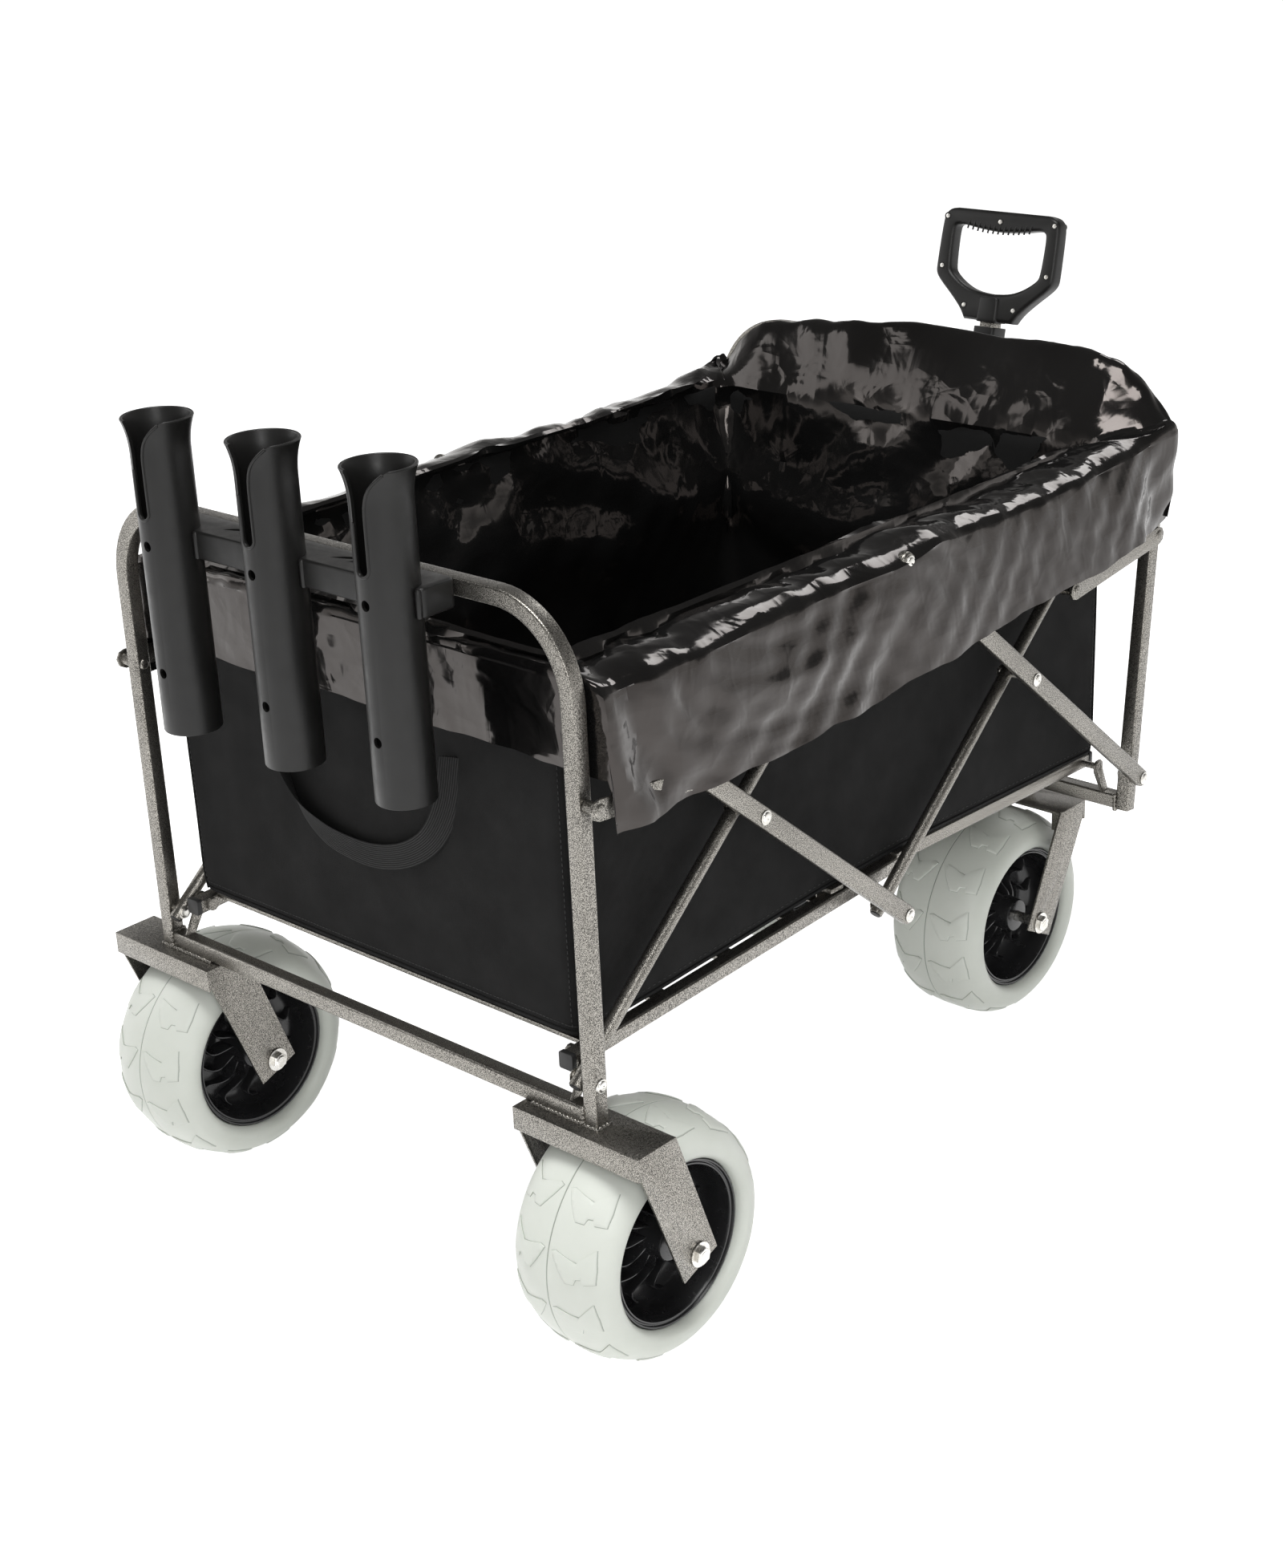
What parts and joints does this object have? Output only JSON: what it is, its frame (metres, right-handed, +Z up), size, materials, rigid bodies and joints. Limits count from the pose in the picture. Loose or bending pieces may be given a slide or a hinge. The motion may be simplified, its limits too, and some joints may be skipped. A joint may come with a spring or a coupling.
{
  "type": "folding fishing trolley",
  "caption": "Folding beach and fishing trolley: scissor frame, balloon wheels, swivelling front casters, telescoping pull handle, rod holders and a lined cloth tub.",
  "frame": {"origin": "on the ground, midway along and across the trolley", "axes": "+Z up, +Y towards the pull handle, +X to the right"},
  "size_m": [0.7706, 1.1908, 0.8906],
  "materials": {
    "powder_coat": "hammered grey-brown powder coat",
    "zinc": "zinc plated",
    "black_plastic": "matte black",
    "tyre": "matte pale grey-green",
    "black_cloth": "coated woven cloth",
    "black_film": "glossy creased film"
  },
  "bodies": {
    "rear_frame": {"rear_u_frame": "powder_coat", "rear_crossbar": "powder_coat", "rear_fork_right": "powder_coat", "rear_fork_left": "powder_coat", "rear_foot_pin_right": "zinc", "rear_foot_pin_left": "zinc", "axle_bolt_rear_right": "zinc", "axle_bolt_rear_left": "zinc", "rod_holder_bracket": "black_plastic", "rod_holder_left": "black_plastic", "rod_holder_middle": "black_plastic", "rod_holder_right": "black_plastic", "cloth_tub": "black_cloth", "film_liner": "black_film", "carry_strap": "black_cloth"},
    "front_frame": {"front_u_frame": "powder_coat", "front_crossbar": "powder_coat", "caster_kingpin_right": "zinc", "caster_kingpin_left": "zinc", "handle_pivot_bolt": "zinc"},
    "base_rear": {"base_rear_half": "powder_coat"},
    "base_front": {"base_front_half": "powder_coat"},
    "handle_shaft": {"handle_outer_tube": "powder_coat", "handle_collar": "black_plastic"},
    "handle_grip": {"handle_inner_tube": "zinc", "handle_grip": "black_plastic"},
    "right_bar_a": {"scissor_bar_a_right": "powder_coat", "rear_cross_pin_right": "zinc", "top_joint_pin_right": "zinc"},
    "right_bar_b": {"scissor_bar_b_right": "powder_coat", "middle_joint_pin_right": "zinc"},
    "right_bar_c": {"scissor_bar_c_right": "powder_coat"},
    "right_bar_d": {"scissor_bar_d_right": "powder_coat", "front_cross_pin_right": "zinc", "front_foot_pin_right": "zinc"},
    "right_rear_link": {"rear_link_right": "powder_coat"},
    "right_front_link": {"front_link_right": "powder_coat"},
    "left_bar_a": {"scissor_bar_a_left": "powder_coat", "rear_cross_pin_left": "zinc", "top_joint_pin_left": "zinc"},
    "left_bar_b": {"scissor_bar_b_left": "powder_coat", "middle_joint_pin_left": "zinc"},
    "left_bar_c": {"scissor_bar_c_left": "powder_coat"},
    "left_bar_d": {"scissor_bar_d_left": "powder_coat", "front_cross_pin_left": "zinc", "front_foot_pin_left": "zinc"},
    "left_rear_link": {"rear_link_left": "powder_coat"},
    "left_front_link": {"front_link_left": "powder_coat"},
    "caster_right": {"caster_fork_right": "powder_coat", "axle_bolt_front_right": "zinc"},
    "front_wheel_right": {"tyre_front_right": "tyre", "hub_front_right": "black_plastic"},
    "rear_wheel_right": {"tyre_rear_right": "tyre", "hub_rear_right": "black_plastic"},
    "caster_left": {"caster_fork_left": "powder_coat", "axle_bolt_front_left": "zinc"},
    "front_wheel_left": {"tyre_front_left": "tyre", "hub_front_left": "black_plastic"},
    "rear_wheel_left": {"tyre_rear_left": "tyre", "hub_rear_left": "black_plastic"}
  },
  "joints": [
    {"name": "right_fold", "type": "hinge", "parent": "rear_frame", "child": "right_bar_a", "pos_m": [0.307, -0.50654, 0.304], "axis": [1, 0, 0], "range_deg": [0, 35.8], "deforming": ["cloth_tub", "film_liner", "carry_strap"]},
    {"name": "right_rear_crossing", "type": "hinge", "parent": "right_bar_a", "child": "right_bar_b", "pos_m": [0.3226, -0.28154, 0.492], "axis": [1, 0, 0], "range_deg": [-71.65, 0]},
    {"name": "right_top_joint", "type": "hinge", "parent": "right_bar_a", "child": "right_bar_d", "pos_m": [0.3226, -0.05654, 0.67999], "axis": [1, 0, 0], "range_deg": [-71.65, 0]},
    {"name": "right_front_crossing", "type": "hinge", "parent": "right_bar_d", "child": "right_bar_c", "pos_m": [0.2899, 0.16845, 0.492], "axis": [1, 0, 0], "range_deg": [0, 71.65]},
    {"name": "front_foot", "type": "hinge", "parent": "right_bar_d", "child": "front_frame", "pos_m": [0.3226, 0.39345, 0.304], "axis": [1, 0, 0], "range_deg": [0, 35.85]},
    {"name": "left_fold", "type": "hinge", "parent": "rear_frame", "child": "left_bar_a", "pos_m": [-0.307, -0.50654, 0.304], "axis": [1, 0, 0], "range_deg": [0, 35.85]},
    {"name": "left_rear_crossing", "type": "hinge", "parent": "left_bar_a", "child": "left_bar_b", "pos_m": [-0.3226, -0.28154, 0.492], "axis": [1, 0, 0], "range_deg": [-71.65, 0]},
    {"name": "left_top_joint", "type": "hinge", "parent": "left_bar_a", "child": "left_bar_d", "pos_m": [-0.3226, -0.05654, 0.67999], "axis": [1, 0, 0], "range_deg": [-71.65, 0]},
    {"name": "left_front_crossing", "type": "hinge", "parent": "left_bar_d", "child": "left_bar_c", "pos_m": [-0.2899, 0.16845, 0.492], "axis": [1, 0, 0], "range_deg": [0, 71.65]},
    {"name": "right_rear_link_pivot", "type": "hinge", "parent": "rear_frame", "child": "right_rear_link", "pos_m": [0.307, -0.50654, 0.578], "axis": [1, 0, 0], "range_deg": [0, 75.23]},
    {"name": "right_front_link_pivot", "type": "hinge", "parent": "front_frame", "child": "right_front_link", "pos_m": [0.307, 0.4214, 0.584], "axis": [1, 0, 0], "range_deg": [-66.75, 0]},
    {"name": "left_rear_link_pivot", "type": "hinge", "parent": "rear_frame", "child": "left_rear_link", "pos_m": [-0.307, -0.50654, 0.578], "axis": [1, 0, 0], "range_deg": [0, 75.23]},
    {"name": "left_front_link_pivot", "type": "hinge", "parent": "front_frame", "child": "left_front_link", "pos_m": [-0.307, 0.4214, 0.584], "axis": [1, 0, 0], "range_deg": [-66.75, 0]},
    {"name": "base_rear_hinge", "type": "hinge", "parent": "rear_frame", "child": "base_rear", "pos_m": [0, -0.48654, 0.313], "axis": [1, 0, 0], "range_deg": [0, 71.15]},
    {"name": "base_front_hinge", "type": "hinge", "parent": "front_frame", "child": "base_front", "pos_m": [0, 0.37345, 0.313], "axis": [1, 0, 0], "range_deg": [-71.15, 0]},
    {"name": "handle_hinge", "type": "hinge", "parent": "front_frame", "child": "handle_shaft", "pos_m": [0, 0.44111, 0.286], "axis": [-1, 0, 0], "range_deg": [-6, 80]},
    {"name": "handle_slide", "type": "slide", "parent": "handle_shaft", "child": "handle_grip", "axis": [0, 0.2334, 0.9724], "range_m": [0, 0.3]},
    {"name": "caster_swivel_right", "type": "hinge", "parent": "front_frame", "child": "caster_right", "pos_m": [0.165, 0.39011, 0.245], "axis": [0, 0, 1], "continuous": true},
    {"name": "front_wheel_spin_right", "type": "hinge", "parent": "caster_right", "child": "front_wheel_right", "pos_m": [0.165, 0.31711, 0.125], "axis": [1, 0, 0], "continuous": true},
    {"name": "rear_wheel_spin_right", "type": "hinge", "parent": "rear_frame", "child": "rear_wheel_right", "pos_m": [0.301, -0.45354, 0.125], "axis": [1, 0, 0], "continuous": true},
    {"name": "caster_swivel_left", "type": "hinge", "parent": "front_frame", "child": "caster_left", "pos_m": [-0.165, 0.39011, 0.245], "axis": [0, 0, 1], "continuous": true},
    {"name": "front_wheel_spin_left", "type": "hinge", "parent": "caster_left", "child": "front_wheel_left", "pos_m": [-0.165, 0.31711, 0.125], "axis": [1, 0, 0], "continuous": true},
    {"name": "rear_wheel_spin_left", "type": "hinge", "parent": "rear_frame", "child": "rear_wheel_left", "pos_m": [-0.301, -0.45354, 0.125], "axis": [1, 0, 0], "continuous": true}
  ],
  "couplings": [
    {"joint": "right_rear_crossing", "follows": "right_fold", "ratio": -2},
    {"joint": "right_top_joint", "follows": "right_fold", "ratio": -2},
    {"joint": "right_front_crossing", "follows": "right_fold", "ratio": 2},
    {"joint": "front_foot", "follows": "right_fold", "ratio": 1},
    {"joint": "left_fold", "follows": "right_fold", "ratio": 1},
    {"joint": "left_rear_crossing", "follows": "right_fold", "ratio": -2},
    {"joint": "left_top_joint", "follows": "right_fold", "ratio": -2},
    {"joint": "left_front_crossing", "follows": "right_fold", "ratio": 2},
    {"joint": "right_rear_link_pivot", "follows": "right_fold", "ratio": 2.1},
    {"joint": "right_front_link_pivot", "follows": "right_fold", "ratio": -1.863},
    {"joint": "left_rear_link_pivot", "follows": "right_fold", "ratio": 2.1},
    {"joint": "left_front_link_pivot", "follows": "right_fold", "ratio": -1.863},
    {"joint": "base_rear_hinge", "follows": "right_fold", "ratio": 1.986},
    {"joint": "base_front_hinge", "follows": "right_fold", "ratio": -1.986}
  ]
}
